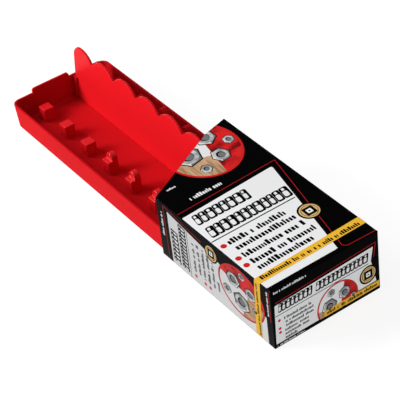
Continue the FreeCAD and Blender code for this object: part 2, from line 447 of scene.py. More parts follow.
def level_points(last, start, low_y, high_y):
    """Points across the top or the bottom, one of them exactly at the step of the opening."""
    ys = [low_y + (high_y - low_y) * step / level_steps for step in range(1, level_steps)]
    ys = sorted(ys + [kink_y])
    if start == 0:
        ys.reverse()
    return [(y, last[1]) for y in ys]


inner_fold_radius = fold_radius / 3
outer_loop = cross_section(ink_depth, fold_radius)
inner_loop = cross_section(board, inner_fold_radius)
print("cross-section of", len(outer_loop), "points outside and", len(inner_loop), "inside")

# %% The folded carton
run_steps = 12
crease_angle = math.radians(40)
bare_side = 1


def tube_rows(mesh, loop):
    """Rings of vertices along X for one loop, from the opening edge to the closed end."""
    rows = []
    end_x = closed_x - board
    for step in range(run_steps + 1):
        share = step / run_steps
        row = []
        for y, z in loop:
            start = open_x(y)
            row.append(mesh.verts.new((start + (end_x - start) * share, y, z)))
        rows.append(row)
    return rows


def join_rows(mesh, first, second, material_index=0, flip=False):
    """Faces between two closed rings of vertices. Returns the faces."""
    made = []
    count = len(first)
    for index in range(count):
        after = (index + 1) % count
        corners = [first[index], first[after], second[after], second[index]]
        if flip:
            corners.reverse()
        made.append(mesh.faces.new(corners))
        made[-1].material_index = material_index
    return made


def end_flap(mesh):
    """The printed end: a flap with a round fold at its top and a cut edge elsewhere."""
    low_x = closed_x - board
    high_x = closed_x - ink_depth
    high_z = carton_top - ink_depth
    reach = high_x - low_x
    profile = [(low_x, flap_foot), (high_x, flap_foot)]
    for step in range(fold_steps + 1):
        angle = math.radians(90 * step / fold_steps)
        profile.append((low_x + reach * math.cos(angle), high_z - reach + reach * math.sin(angle)))
    rings = []
    for y in (near_y + ink_depth, far_y - ink_depth):
        rings.append([mesh.verts.new((x, y, z)) for x, z in profile])
    mesh.faces.new(rings[0])
    mesh.faces.new(rings[1][::-1])
    around = join_rows(mesh, *rings, flip=True)
    around[-1].material_index = bare_side


def folded_carton():
    """The tube of board and its printed end, as one mesh with print outside and board inside."""
    mesh = bmesh.new()
    outside = tube_rows(mesh, outer_loop)
    inside = tube_rows(mesh, inner_loop)
    for first, second in zip(outside, outside[1:]):
        join_rows(mesh, first, second)
    for first, second in zip(inside, inside[1:]):
        join_rows(mesh, first, second, bare_side, flip=True)
    join_rows(mesh, inside[0], outside[0], bare_side)
    join_rows(mesh, outside[-1], inside[-1], bare_side)
    end_flap(mesh)
    bmesh.ops.recalc_face_normals(mesh, faces=mesh.faces)
    plain = bpy.data.meshes.new("folded_carton")
    mesh.to_mesh(plain)
    mesh.free()
    plain.materials.append(black_ground)
    plain.materials.append(plain_board)
    plain.shade_smooth()
    plain.set_sharp_from_angle(angle=crease_angle)
    return plain


piece(
    "folded_carton",
    folded_carton(),
    "carton",
    "printed_board",
    "carton_top_panel",
    "carton_bottom_panel",
    "carton_near_side_panel",
    "carton_far_side_panel",
    "carton_outer_end_flap",
)

# %% Flaps that stay as they are
for name in (
    "carton_glue_flap",
    "carton_inner_end_flap",
    "carton_near_dust_flap",
    "carton_far_dust_flap",
):
    nodes[name].material_slots[0].material = plain_board
print("bare board on the four hidden flaps")

# %% [markdown]
# The print. On the real carton it is ink: a light panel for the words, a yellow stripe, thin
# red lines and a round picture. Ink could be painted by the finish, but then its edges are only
# as sharp as a baked image. So each ink is a set of very thin closed plates on the board, one
# mesh for each ink, as a printer has one plate for each. A plate's layer says what lies over
# what. Words are rows of short plain strokes, and the headings are rows of socket outlines, so
# the print has the weight and rhythm of lettering but says nothing. The long sides carry painted
# shade: each ink is mixed with some black where it lies on a side, so the sides print darker
# than the top, and the light panel there is a darker grey ink.

# %% Faces that carry print
class Face:
    """One flat side of the carton, with its own level directions for print."""

    def __init__(self, origin, across, up, region):
        self.origin = Vector(origin)
        self.across = Vector(across)
        self.up = Vector(up)
        self.out = self.across.cross(self.up)
        self.region = region

    def at(self, a, b, layer):
        """The point at a across and b up, on top of a layer of ink."""
        lift = layer * ink_step - ink_depth
        return self.origin + self.across * a + self.up * b + self.out * lift

    def matrix(self, a, b, layer):
        """What carries a mesh from its own plane to this face, with its corner at a and b."""
        columns = (self.across, self.up, self.out, self.at(a, b, layer))
        return Matrix([[column[row] for column in columns] for row in range(3)] + [(0, 0, 0, 1)])


print_edge = ink_depth + fold_radius


def panel_region(reaches):
    """Corners of the part of a face that can hold print, given where it is open."""
    return [(print_edge, print_edge), (reaches[-1][0] - print_edge, print_edge)] + [
        (min(max(a, print_edge), reaches[-1][0] - print_edge), b) for a, b in reversed(reaches)
    ]


across_reaches = [(y - near_y, cover) for y, cover in opening]
mirrored_reaches = [(carton_width - a, b) for a, b in reversed(across_reaches)]
top_face = Face((closed_x, near_y, carton_top), (0, 1, 0), (-1, 0, 0),
                panel_region(across_reaches))
near_face = Face((closed_x, near_y, 0), (0, 0, 1), (-1, 0, 0),
                 panel_region([(0, near_cover), (carton_top, near_cover)]))
far_face = Face((closed_x, far_y, carton_top), (0, 0, -1), (-1, 0, 0),
                panel_region([(0, far_cover), (carton_top, far_cover)]))
bottom_face = Face((closed_x, far_y, 0), (0, -1, 0), (-1, 0, 0),
                   panel_region(mirrored_reaches))
end_face = Face((closed_x, near_y, 0), (0, 1, 0), (0, 0, 1), [
    (print_edge, flap_foot + print_edge), (carton_width - print_edge, flap_foot + print_edge),
    (carton_width - print_edge, carton_top - board), (print_edge, carton_top - board)])
print("faces for print: top, near side, far side, bottom and end")


# %% Outlines on a face
def cut_to(outline, region):
    """The part of an outline that lies inside a region with no hollow corners."""
    for start, end in zip(region, region[1:] + region[:1]):
        def inside(p):
            return (end[0] - start[0]) * (p[1] - start[1]) - (end[1] - start[1]) * (p[0] - start[0])

        kept = []
        for p, q in zip(outline, outline[1:] + outline[:1]):
            here, there = inside(p), inside(q)
            if here >= 0:
                kept.append(p)
            if here * there < 0:
                share = here / (here - there)
                kept.append((p[0] + (q[0] - p[0]) * share, p[1] + (q[1] - p[1]) * share))
        outline = kept
    return outline


def ellipse(a, b, wide, high, steps=56):
    """An outline round a middle point."""
    turns = [2 * math.pi * step / steps for step in range(steps)]
    return [(a + wide * math.cos(turn), b + high * math.sin(turn)) for turn in turns]


def block(a0, b0, a1, b1):
    """A rectangle."""
    return [(a0, b0), (a1, b0), (a1, b1), (a0, b1)]


def round_corners(outline, radius, steps=5):
    """The outline with each corner cut by a small arc of points."""
    made = []
    count = len(outline)
    for index, corner in enumerate(outline):
        corner = Vector(corner)
        before = (Vector(outline[index - 1]) - corner).normalized() * radius
        after = (Vector(outline[(index + 1) % count]) - corner).normalized() * radius
        for step in range(steps + 1):
            share = step / steps
            place = corner + before * (1 - share) ** 2 + after * share ** 2
            made.append((place.x, place.y))
    return made


def ribbon(path, width):
    """The outline of a line of even width along a path of straight runs."""
    sharpest = 0.5
    left, right = [], []
    for index, point in enumerate(path):
        point = Vector(point)
        runs = []
        if index > 0:
            runs.append((point - Vector(path[index - 1])).normalized())
        if index < len(path) - 1:
            runs.append((Vector(path[index + 1]) - point).normalized())
        along = sum(runs, Vector((0, 0))).normalized()
        aside = Vector((-along.y, along.x)) * (width / 2 / max(along.dot(runs[0]), sharpest))
        left.append(tuple(point + aside))
        right.append(tuple(point - aside))
    return right + left[::-1]


print("outlines can be cut, rounded and drawn as lines")

# %% Inks
plates = {}
paler_share = 0.86
side_start = far_y - print_edge / 2


def ink(name, colour, other=None, roughness=0.34, specular=0.03, pattern=None, side_painted_shade=0.4):
    """A printed ink under varnish. A second colour blends in along the carton, or as streaks."""
    plain_name = name.replace("_", " ")
    material, graph, shader, place = finish(plain_name, colour, roughness, specular)
    x, y = graph.axes(place)[:2]
    mottle = noise(graph, place, 2.5 * mm)
    if pattern:
        size, squeeze, low, high = pattern
        share = graph.rise(noise(graph, place, size, detail=4.0, squeeze=squeeze), low, high)
    else:
        along = (closed_x - x) / near_cover
        share = 0.8 * along + 0.2 * mottle
    # Painted shade: on the long sides black is mixed into each ink, so the sides print darker than
    # the top.
    on_side = graph.math("GREATER_THAN", graph.math("ABSOLUTE", y), side_start)
    blended = graph.mix(share, colour, other or toned(colour, paler_share))
    side_shaded_colour = graph.mix(side_painted_shade * on_side, blended, (0.0, 0.0, 0.0))
    wave = noise(graph, place, 6 * mm)
    shine = roughness - 0.05 + 0.10 * wave
    surface(graph, shader, side_shaded_colour, shine, 0.7 * wave + 0.3 * mottle, 0.010 * mm)
    plates[name] = (bmesh.new(), material)


ink("light_panel_print", (0.93, 0.93, 0.94), (0.86, 0.86, 0.87), specular=0.12)
# Painted shade: the light panel on the long sides is a darker grey than on the top, so it takes no
# more black there.
ink("side_panel_print", (0.46, 0.46, 0.465), (0.38, 0.38, 0.385), specular=0.12,
    side_painted_shade=0.0)
ink("white_print", (0.93, 0.93, 0.93))
ink("black_print", print_black, specular=0.01)
ink("red_print", (0.72, 0.018, 0.018))
ink("yellow_print", (0.95, 0.53, 0.04))
ink("gold_print", (0.78, 0.52, 0.20))
ink("steel_print", (0.20, 0.205, 0.21))
ink("silver_print", (0.60, 0.61, 0.62), (0.30, 0.305, 0.31),
    pattern=(3 * mm, (1.0, 0.4, 1.0), 0.40, 0.62))
ink("wood_print", (0.62, 0.38, 0.22), (0.34, 0.19, 0.10),
    pattern=(1.6 * mm, (0.12, 1.0, 1.0), 0.42, 0.66))
ink("cloth_print", (0.72, 0.018, 0.020), (0.20, 0.005, 0.006),
    pattern=(7 * mm, (1.0, 0.45, 1.0), 0.45, 0.62))
print("inks:", ", ".join(plates))


def press(name, face, outline, layer):
    """Print one outline as a thin closed plate, up to a layer, cut to what the face can hold."""
    outline = cut_to(outline, face.region)
    if len(outline) < 3:
        return
    plate = plates[name][0]
    top = [plate.verts.new(face.at(a, b, layer)) for a, b in outline]
    foot = [plate.verts.new(face.at(a, b, -1)) for a, b in outline]
    plate.faces.new(top)
    plate.faces.new(foot[::-1])
    join_rows(plate, foot, top)


# %% [markdown]
# Words and headings are rows of blocks along a line, each with its own length. A shape graph
# makes any such row: points get a raw width, the widths are added up and scaled so that the row
# has its exact length, and a rounded rectangle of that size stands on each point. Narrow blocks
# above wide ones read as a row of sockets, and uneven ones with gaps read as words.

# %% Shape graph of a row of blocks
def row_graph():
    """A row of rounded blocks of uneven widths that fills a length exactly."""
    numbers = ["Length", "Gap", "Uneven", "Share", "Low", "High", "Corner"]
    numbers += ["Tall", "Spaces", "Slant", "Thickness"]
    graph, given = shape_graph("row of blocks", numbers, ["Count", "Seed"])
    points = graph.node("GeometryNodeMeshLine", {"Count": given["Count"]}, mode="OFFSET")
    index = graph.node("GeometryNodeInputIndex")
    raw = 1 + graph.chance(0 - given["Uneven"], given["Uneven"], given["Seed"])
    running = graph.outputs(graph.node("GeometryNodeAccumulateField", {0: raw}))
    before, total = running["Trailing"], running["Total"]
    free = given["Length"] - given["Gap"] * (given["Count"] - 1)
    width = raw * free / total
    middle = before * free / total + given["Gap"] * index + width / 2
    tallness = graph.chance(0.0, 1.0, given["Seed"] + 7)
    short_share = 0.72
    stretch = 1 + given["Tall"] * graph.math("GREATER_THAN", tallness, short_share)
    height = (given["High"] - given["Low"]) * stretch
    place = graph.point(middle, given["Low"] + height / 2, 0.0)
    placed = graph.node("GeometryNodeSetPosition", {"Geometry": points, "Position": place})
    square = graph.node("GeometryNodeCurvePrimitiveQuadrilateral", {"Width": 1.0, "Height": 1.0})
    size = graph.point(width * given["Share"], height, 1.0)
    values = {"Probability": 1 - given["Spaces"], "Seed": given["Seed"] + 3}
    shown = graph.node("FunctionNodeRandomValue", values, out=3, data_type="BOOLEAN")
    stood = graph.node("GeometryNodeInstanceOnPoints", {
        "Points": placed, "Instance": square, "Scale": size, "Selection": shown})
    upright = graph.node("GeometryNodeRealizeInstances", {"Geometry": stood})
    y = graph.axes(graph.node("GeometryNodeInputPosition"))[1]
    lean = graph.point(given["Slant"] * y, 0.0, 0.0)
    real = graph.node("GeometryNodeSetPosition", {"Geometry": upright, "Offset": lean})
    rounded = graph.node("GeometryNodeFilletCurve", {
        "Curve": real, "Count": 3, "Radius": given["Corner"], "Limit Radius": True}, mode="POLY")
    filled = graph.node("GeometryNodeFillCurve", {"Curve": rounded}, mode="NGONS")
    end_graph(graph, thick(graph, filled, given["Thickness"]), given["Material"])
    return graph


blocks = row_graph()
row_defaults = {
    "Uneven": 0.0, "Share": 1.0, "Low": 0.0, "Tall": 0.0, "Spaces": 0.0, "Slant": 0.0, "Seed": 1,
}


def press_row(name, face, a, b, layer, **settings):
    """Print a row of blocks whose lower left corner is at a and b on a face."""
    plate, material = plates[name]
    chosen = dict(row_defaults)
    chosen.update({label.replace("_", " "): value for label, value in settings.items()})
    chosen["Thickness"] = (layer + 1) * ink_step
    chosen["Material"] = material
    mesh = grow("row", blocks, chosen)
    mesh.transform(face.matrix(a, b, -1))
    plate.from_mesh(mesh)
    bpy.data.meshes.remove(mesh)


print("rows of blocks come from a graph of", len(blocks.tree.nodes), "nodes")

# %% Words, title and badge
panel_layer = 1
text_layer = 2
stripe_layer = ink_layers - 1
stroke_pitch_share = 0.42
stroke_height_share = 0.66
stroke_width_share = 0.72
stroke_corner_share = 0.10
# Foot, top and corner of a socket's body and neck as shares of its height, with their widths.
socket_body = {"low": 0.10, "high": 0.60, "corner": 0.10, "share": 1.0}
socket_neck = {"low": 0.68, "high": 0.90, "corner": 0.03, "share": 0.58}


def in_mm(*sizes):
    """Sizes in millimetres, turned into the scene's metres."""
    return [size * mm for size in sizes]


def words(name, face, a0, a1, b, height, layer=text_layer):
    """A line of words, sized in mm: short strokes, some of them tall, with gaps here and there."""
    a0, a1, b, height = in_mm(a0, a1, b, height)
    pitch = stroke_pitch_share * height
    press_row(name, face, a0, b, layer, Length=a1 - a0, High=stroke_height_share * height,
              Count=round((a1 - a0) / pitch), Gap=(1 - stroke_width_share) * pitch, Uneven=0.3,
              Tall=0.4, Spaces=0.13, Corner=stroke_corner_share * height,
              Seed=round((3 * a0 + a1 + b) / mm))


def socket_title(face, a0, a1, b, height, count):
    """A row of leaning sockets in white on black, sized in mm: wide bodies below narrower necks."""
    a0, a1, b, height = in_mm(a0, a1, b, height)
    edge = 0.10 * height
    shadow = 0.05 * height
    shared = {"Count": count, "Uneven": 0.2, "Slant": 0.14, "Seed": count}
    press_row("black_print", face, a0 + shadow, b - shadow, text_layer, Length=a1 - a0,
              Gap=0.1 * edge, High=height + shadow, Corner=0.12 * height, **shared)
    for part in (socket_body, socket_neck):
        press_row("white_print", face, a0 + edge, b, text_layer + 1, Length=a1 - a0 - 2 * edge,
                  Gap=2.1 * edge, Low=part["low"] * height, High=part["high"] * height,
                  Share=part["share"], Corner=part["corner"] * height, **shared)


def badge(face, a, b, radius):
    """A gold disc, sized in mm, that shows a square drive in a dark window."""
    a, b, radius = in_mm(a, b, radius)
    rings = (("black_print", 1.2), ("gold_print", 1.0), ("black_print", 0.84), ("gold_print", 0.78))
    layer = text_layer
    for name, share in rings:
        press(name, face, ellipse(a, b, share * radius, share * radius), layer)
        layer += 1
    window = 0.58 * radius
    drive = 0.5 * window
    for name, half, corner_share in (("black_print", window, 0.3), ("white_print", drive, 0.25)):
        outline = block(a - half, b - half, a + half, b + half)
        press(name, face, round_corners(outline, corner_share * half), layer)
        layer += 1
    dimple = 0.35 * drive
    press("black_print", face, ellipse(a, b, dimple, dimple, steps=16), layer)


print("words, titles and badges can be printed")


# %% [markdown]
# The round picture is a drawing in flat inks: steel hexagon nuts of several sizes, some on a red
# cloth and some on a tan bench top, before a pale ground. Each nut is a dark hexagon, six
# facets that are light on one side, a bright flat ring and a dark hole. All of it is cut to
# the circle, and on the top panel also to the slanted opening, as the die would cut it.

# %% Round picture
# Each nut's place across and up and its radius, as shares of the circle, and its turn in degrees.
picture_nuts = [(-0.42, 0.02, 0.40, 10), (0.36, 0.34, 0.33, 32), (0.26, -0.42, 0.27, 3),
                (-0.30, 0.66, 0.20, 22), (0.78, -0.08, 0.17, 15), (-0.34, -0.62, 0.17, 40)]
lit_sides = (2, 3)
edge_share, ring_share, picture_share = 1.045, 1.03, 0.97
facet_share, flat_share, rim_share, hole_share = 0.9, 0.72, 0.44, 0.34
hole_right_share, hole_down_share = 0.05, 0.06


def turned(middle, radius, angle):
    """A point at a radius and an angle in degrees round a middle."""
    turn = math.radians(angle)
    return (middle[0] + radius * math.cos(turn), middle[1] + radius * math.sin(turn))


def round_picture(face, a, b, wide, high, turn=1, ground="white_print"):
    """A ringed drawing of nuts on a cloth, sized in mm and cut to its circle."""
    a, b, wide, high = in_mm(a, b, wide, high)
    edge_layer, ring_layer, ground_layer, bench_layer, cloth_layer = range(text_layer, text_layer + 5)
    nut_layer, facet_layer, flat_layer, rim_layer, hole_layer = range(text_layer + 5, ink_layers)
    press("black_print", face, ellipse(a, b, edge_share * wide, edge_share * high), edge_layer)
    press("red_print", face, ellipse(a, b, ring_share * wide, ring_share * high), ring_layer)
    circle = cut_to(ellipse(a, b, picture_share * wide, picture_share * high), face.region)
    press(ground, face, circle, ground_layer)

    def draw(name, outline, layer):
        placed = [(a + turn * u * wide, b + v * high) for u, v in outline]
        if turn < 0:
            placed.reverse()
        press(name, face, cut_to(placed, circle), layer)

    draw("wood_print", [(-1.1, -1.1), (1.1, -1.1), (1.1, -0.62), (-1.1, 0.05)], bench_layer)
    draw("cloth_print", [(-0.05, -1.1), (1.1, -1.1), (1.1, 1.1), (0.42, 1.1)], cloth_layer)
    for u, v, radius, start in picture_nuts:
        corners = [start + 60 * side for side in range(6)]
        draw("black_print", [turned((u, v), radius, angle) for angle in corners], nut_layer)
        inner, flat = facet_share * radius, flat_share * radius
        rim, hole = rim_share * radius, hole_share * radius
        for side, angle in enumerate(corners):
            facet = [(u, v), turned((u, v), inner, angle), turned((u, v), inner, angle + 60)]
            draw("white_print" if side in lit_sides else "steel_print", facet, facet_layer)
        draw("silver_print", ellipse(u, v, flat, flat, steps=24), flat_layer)
        draw("black_print", ellipse(u, v, rim, rim, steps=20), rim_layer)
        right, down = hole_right_share * radius, hole_down_share * radius
        draw("steel_print", ellipse(u + right, v - down, hole, hole, steps=20), hole_layer)


print("the round picture is ready")


# %% Stripe and text panel
near_stripe = (7.5 * mm, 11.9 * mm)
far_stripe = (8.3 * mm, 14.1 * mm)
low_stripe = (9.8 * mm, 14.4 * mm)
fine_line = 0.24 * mm
panel_round = 1.6 * mm


def drawn(*points):
    """Points of an outline in millimetres, turned into the scene's metres."""
    return [(a * mm, b * mm) for a, b in points]


def fold_band(name, b0, b1, layer, side):
    """Ink that wraps round a long upper fold, from one distance from the closed end to another."""
    plate = plates[name][0]
    middle_z = carton_top - print_edge
    middle_y = near_y + print_edge if side < 0 else far_y - print_edge
    rings = []
    for step in range(fold_steps + 1):
        angle = math.radians(90 * step / fold_steps)
        ring = []
        for b, lift in ((b0, -1), (b1, -1), (b1, layer), (b0, layer)):
            radius = fold_radius + lift * ink_step
            y = middle_y + side * radius * math.cos(angle)
            z = middle_z + radius * math.sin(angle)
            ring.append(plate.verts.new((closed_x - b, y, z)))
        rings.append(ring)
    faces = [plate.faces.new(rings[0]), plate.faces.new(rings[-1][::-1])]
    for first, second in zip(rings, rings[1:]):
        faces += join_rows(plate, first, second, flip=True)
    bmesh.ops.recalc_face_normals(plate, faces=faces)


def stripe(face, start, end, across):
    """The yellow stripe over one face, from its near fold to its far fold."""
    outline = [(0, start[0]), (across, end[0]), (across, end[1]), (0, start[1])]
    press("yellow_print", face, outline, stripe_layer)


def text_panel(face, ground, panel, line, titles, rule, rows, height, bullet_a, bullets,
               bullet_radius):
    """A panel and its red line, with headings, a rule, lines of words and bullets sized in mm."""
    press(ground, face, panel, panel_layer)
    press("red_print", face, ribbon(line, fine_line), panel_layer)
    for title in titles:
        socket_title(face, *title)
    press("black_print", face, block(*in_mm(*rule)), text_layer)
    for row in rows:
        words("black_print", face, *row, height)
    for b in bullets:
        bullet = ellipse(*in_mm(bullet_a, b, bullet_radius, bullet_radius))
        press("red_print", face, bullet, text_layer)


print("stripes and text panels can be printed")


# %% Top panel print
def print_top(face):
    """Light panel, headings, words, badge, stripe and picture on the top."""
    panel = drawn((0, 70.3), (0, 2.9), (42.4, 2.9), (57.8, 73.4))
    text_panel(
        face, "light_panel_print", round_corners(panel, panel_round),
        line=drawn((0.6, 74.2), (61.9, 76.6), (45.4, 3.6), (46.2, 2.2), (47.4, 1.5), (63.6, 1.0)),
        titles=[(3.0, 35.4, 60.6, 8.0, 8), (2.6, 51.6, 48.6, 8.2, 12)],
        rule=(0.9, 45.9, 51.2, 46.6),
        rows=[(6.4, 40.1, 38.8), (7.0, 42.0, 33.2), (6.4, 42.6, 26.8), (6.7, 44.2, 20.6),
              (6.4, 38.6, 15.2)],
        height=4.3, bullet_a=3.5, bullets=(40.1, 28.3, 22.0), bullet_radius=1.6,
    )
    badge(face, 49.9, 33.4, 5.2)
    press("white_print", face, block(*in_mm(0, 3.1, 42.6, 9.0)), text_layer)
    stripe(face, near_stripe, far_stripe, carton_width)
    words("black_print", face, 2.6, 61.2, 8.9, 3.0, ink_layers)
    words("white_print", face, 12.0, 31.0, 78.6, 3.0)
    words("white_print", face, 7.4, 13.4, 92.6, 1.6)
    round_picture(face, 39.4, 108.4, 20.3, 23.2)


print_top(top_face)
fold_band("yellow_print", *near_stripe, stripe_layer, -1)
fold_band("yellow_print", *far_stripe, stripe_layer, 1)
print("top panel printed")


# %% Side panels print
def print_side(face, picture_turn, start, end):
    """The same design on a long side, with its words reading along the short way."""
    text_panel(
        face, "side_panel_print",
        panel=drawn((0, 83.4), (0, 4.7), (17.0, 4.7), (27.2, 41.0), (33.2, 83.4)),
        line=drawn((0.8, 86.6), (35.2, 86.6), (31.4, 55.0)),
        titles=[(2.6, 23.0, 76.2, 5.8, 8), (2.6, 30.2, 68.9, 5.8, 12)],
        rule=(0.9, 67.2, 30.4, 67.6),
        rows=[(7.6, 25.4, 62.0), (8.0, 27.8, 58.0), (7.4, 26.4, 54.0), (7.6, 25.2, 50.0),
              (7.4, 23.4, 46.2), (7.6, 15.0, 42.4)],
        height=2.3, bullet_a=4.6, bullets=(63.1, 55.1, 51.1), bullet_radius=1.05,
    )
    badge(face, 29.3, 47.0, 4.4)
    round_picture(face, 19.5, 24.0, 14.3, 17.6, picture_turn, "side_panel_print")
    stripe(face, start, end, carton_top)
    words("black_print", face, 2.0, 34.6, 10.0, 1.8, ink_layers)
    words("white_print", face, 18.6, 34.4, 2.4, 1.3)
    words("white_print", face, 15.0, 30.0, 88.2, 2.0)
    press("red_print", face, block(*in_mm(16.5, 1.3, 35.0, 1.6)), panel_layer)


print_side(near_face, 1, low_stripe, near_stripe)
print_side(far_face, -1, far_stripe, low_stripe)
print("both long sides printed")


# %% End and bottom print
def print_end(face):
    """The closed end: headings in one row, words on the left, picture and stripe on the right."""
    text_panel(
        face, "light_panel_print",
        panel=drawn((2.0, 26.3), (1.2, 2.6), (63.0, 2.6), (59.4, 20.6), (61.0, 28.6)),
        line=drawn((2.6, 27.7), (62.6, 30.4), (61.2, 22.0)),
        titles=[(3.4, 23.4, 21.2, 5.2, 8), (25.6, 57.2, 21.2, 5.2, 12)],
        rule=(2.0, 19.4, 57.8, 19.8),
        rows=[(6.8, 22.8, 15.3), (6.8, 24.0, 12.8), (6.8, 23.8, 10.3), (6.8, 20.8, 7.8),
              (6.8, 21.6, 5.4), (6.8, 13.6, 3.1)],
        height=1.8, bullet_a=4.0, bullets=(16.2, 11.2, 8.7), bullet_radius=0.85,
    )
    press("black_print", face, block(51.0 * mm, 0, carton_width, 6.4 * mm), text_layer)
    round_picture(face, 38.4, 6.8, 12.0, 12.0)
    badge(face, 57.4, 13.0, 4.5)
    press("black_print", face, block(0, 0, carton_width, 2.3 * mm), stripe_layer)
    press("yellow_print", face, block(30.0 * mm, 2.3 * mm, carton_width, 5.9 * mm), stripe_layer)
    words("black_print", face, 31.4, 62.4, 3.1, 2.2, ink_layers)
    words("white_print", face, 2.0, 21.0, 33.4, 1.6)
    words("white_print", face, 1.8, 18.0, 0.9, 1.1, ink_layers)


def print_bottom(face):
    """A plain light field with a few lines of words, and the stripe that runs all round."""
    panel = block(*in_mm(6.0, 20.0, 58.4, 82.0))
    press("light_panel_print", face, round_corners(panel, panel_round), panel_layer)
    first_row, row_pitch, whole_end, short_end = 72.0, 5.6, 52.0, 34.0
    for row in range(9):
        end = whole_end if row % 3 < 2 else short_end
        words("black_print", face, 10.0, end, first_row - row_pitch * row, 3.0)
    stripe(face, low_stripe, low_stripe, carton_width)


print_end(end_face)
print_bottom(bottom_face)
print("end and bottom printed")

# %% Ink plates as pieces
for name, (plate, material) in plates.items():
    piece(name, one_finish(name, plate, material), "carton", "printed_board")

# %% [markdown]
# The label rack is a plate whose upper edge is a row of equal arcs, one over each socket place,
# and its lower corners are round to clear the tray's floor fillet. That is a rule, so a shape
# graph makes it: a grid with two rows, whose lower row follows the foot and whose upper row
# follows the arcs. Every point then leans back by its height, and the sheet gets its thickness.

# %% Sizes of the label rack
place_pitch = 22 * mm
place_count = 11
lobe_rise = 5.3 * mm
rack_lean = 3.3 * mm
rack_thickness = 1.4 * mm
foot_round = 4 * mm
corner_round = 4.2 * mm
columns_per_lobe = 40
rim_bevel = 0.22 * mm
lobe_angle = math.radians(35)
first_place_back = 1 * mm

first_place = tray_low.x - first_place_back + place_pitch / 2
print("rack of", place_count, "places,", round(place_pitch / mm, 1), "mm apart")


# %% Shape graph of the label rack
def end_drop(graph, x, low, high, radius):
    """How far a round corner falls short of the full height, at a place along the plate."""
    to_end = graph.math("MINIMUM", x - low, high - x)
    short = graph.math("MAXIMUM", radius - to_end, 0.0)
    return radius - graph.math("SQRT", radius * radius - short * short)


def rack_graph():
    """A leaning plate with one round lobe for each place."""
    numbers = ["Low X", "High X", "Foot Y", "Foot Z", "Top Z", "First Place", "Pitch"]
    numbers += ["Lobe Rise", "Lean", "Thickness", "Foot Round", "Corner Round"]
    graph, given = shape_graph("lobed rack", numbers, ["Columns"])
    low, high = given["Low X"], given["High X"]
    flat = graph.node("GeometryNodeMeshGrid", {
        "Size X": 1.0, "Size Y": 1.0, "Vertices X": given["Columns"], "Vertices Y": 2})
    along, across = graph.axes(graph.node("GeometryNodeInputPosition"))[:2]
    upper = across + 0.5
    crowded = graph.math("SINE", along * math.pi) * 0.5
    even_share, crowded_share = 0.7, 0.3
    eased = even_share * along + crowded_share * crowded + 0.5
    x = low + (high - low) * eased
    from_middle = graph.math("PINGPONG", x - given["First Place"], given["Pitch"] / 2)
    half, rise = given["Pitch"] / 2, given["Lobe Rise"]
    radius = (half * half + rise * rise) / (2 * rise)
    arc = graph.math("SQRT", radius * radius - from_middle * from_middle) - radius
    crest = given["Top Z"] + arc - end_drop(graph, x, low, high, given["Corner Round"])
    foot = given["Foot Z"] + end_drop(graph, x, low, high, given["Foot Round"])
    z = foot + (crest - foot) * upper
    back = given["Lean"] * (z - given["Foot Z"]) / (given["Top Z"] - given["Foot Z"])
    place = graph.point(x, given["Foot Y"] + back, z)
    bent = graph.node("GeometryNodeSetPosition", {"Geometry": flat, "Position": place})
    facing = graph.node("GeometryNodeFlipFaces", {"Mesh": bent})
    level = graph.point(0.0, 1.0, 0.0)
    end_graph(graph, thick(graph, facing, given["Thickness"], level), given["Material"])
    print("lobed rack from a graph of", len(graph.tree.nodes), "nodes")
    return graph


# %% Make the label rack
def label_rack():
    """Evaluate the rack's graph and round its rim a little."""
    settings = {
        "Low X": rack_low.x, "High X": rack_high.x, "Foot Y": rack_low.y, "Foot Z": rack_low.z,
        "Top Z": rack_high.z, "First Place": first_place, "Pitch": place_pitch,
        "Lobe Rise": lobe_rise, "Lean": rack_lean, "Thickness": rack_thickness,
        "Foot Round": foot_round, "Corner Round": corner_round,
        "Columns": place_count * columns_per_lobe, "Material": rack_red,
    }
    plate = grow("label_rack_plate", rack_graph(), settings)
    plate.materials.clear()
    plate.materials.append(rack_red)
    plate.shade_smooth()
    plate.set_sharp_from_angle(angle=lobe_angle)
    made = piece("lobed_label_rack", plate, "tray", "red_plastic", "label_rack")
    rim = made.modifiers.new("rim", "BEVEL")
    rim.width = rim_bevel
    rim.segments = 2
    rim.limit_method = "ANGLE"
    rim.angle_limit = crease_angle


label_rack()

# %% Red finish on the tray and its posts
for name in ("drawer_tray", "far_socket_posts"):
    nodes[name].material_slots[0].material = red
nodes["near_socket_posts"].material_slots[0].material = post_red
print("red plastic on the tray, the posts and the rack")

# %% [markdown]
# Two sheets of size labels lie on the tray's floor under the carton: one for inch sockets and
# one for metric. A sheet is a waxed backing paper with two rows of glossy labels, cut with
# round corners, and a plain size number on each. The rows come from the same shape graph as
# the words on the carton, with equal widths. The numbers are type made into thin plates.

# %% Papers
def paper(name, pale, dull, size, roughness, depth):
    """A paper whose shade and height wander with its fibres."""
    material, graph, shader, place = finish(name, pale, roughness, specular=0.3)
    fibres = noise(graph, place, size, detail=4.0, squeeze=(1.0, 0.3, 1.0))
    mottle = noise(graph, place, 12 * mm)
    colour = graph.mix(0.5 * fibres + 0.5 * mottle, dull, pale)
    surface(graph, shader, colour, roughness - 0.06 + 0.12 * fibres, fibres, depth)
    return material


backing = paper("waxed backing paper", (0.80, 0.76, 0.66), (0.70, 0.66, 0.56), 0.9 * mm, 0.5,
                0.01 * mm)
label_gloss = paper("glossy label paper", (0.88, 0.88, 0.87), (0.82, 0.82, 0.81), 0.5 * mm, 0.28,
                    0.004 * mm)
black_ink = plates["black_print"][1]
print("papers:", backing.name, "and", label_gloss.name)

# %% Size labels
label_gap = 1.2 * mm
label_round = 1.5 * mm
number_height = 0.015 * mm
whole_type_size = 3.8 * mm
fraction_type_size = 2.7 * mm
same_point = 0.0005 * mm
inch_sizes = "5/32 3/16 7/32 1/4 9/32 5/16 11/32 3/8 7/16 1/2 9/16".split()
metric_sizes = "4 5 5.5 6 7 8 9 10 11 12 13".split()


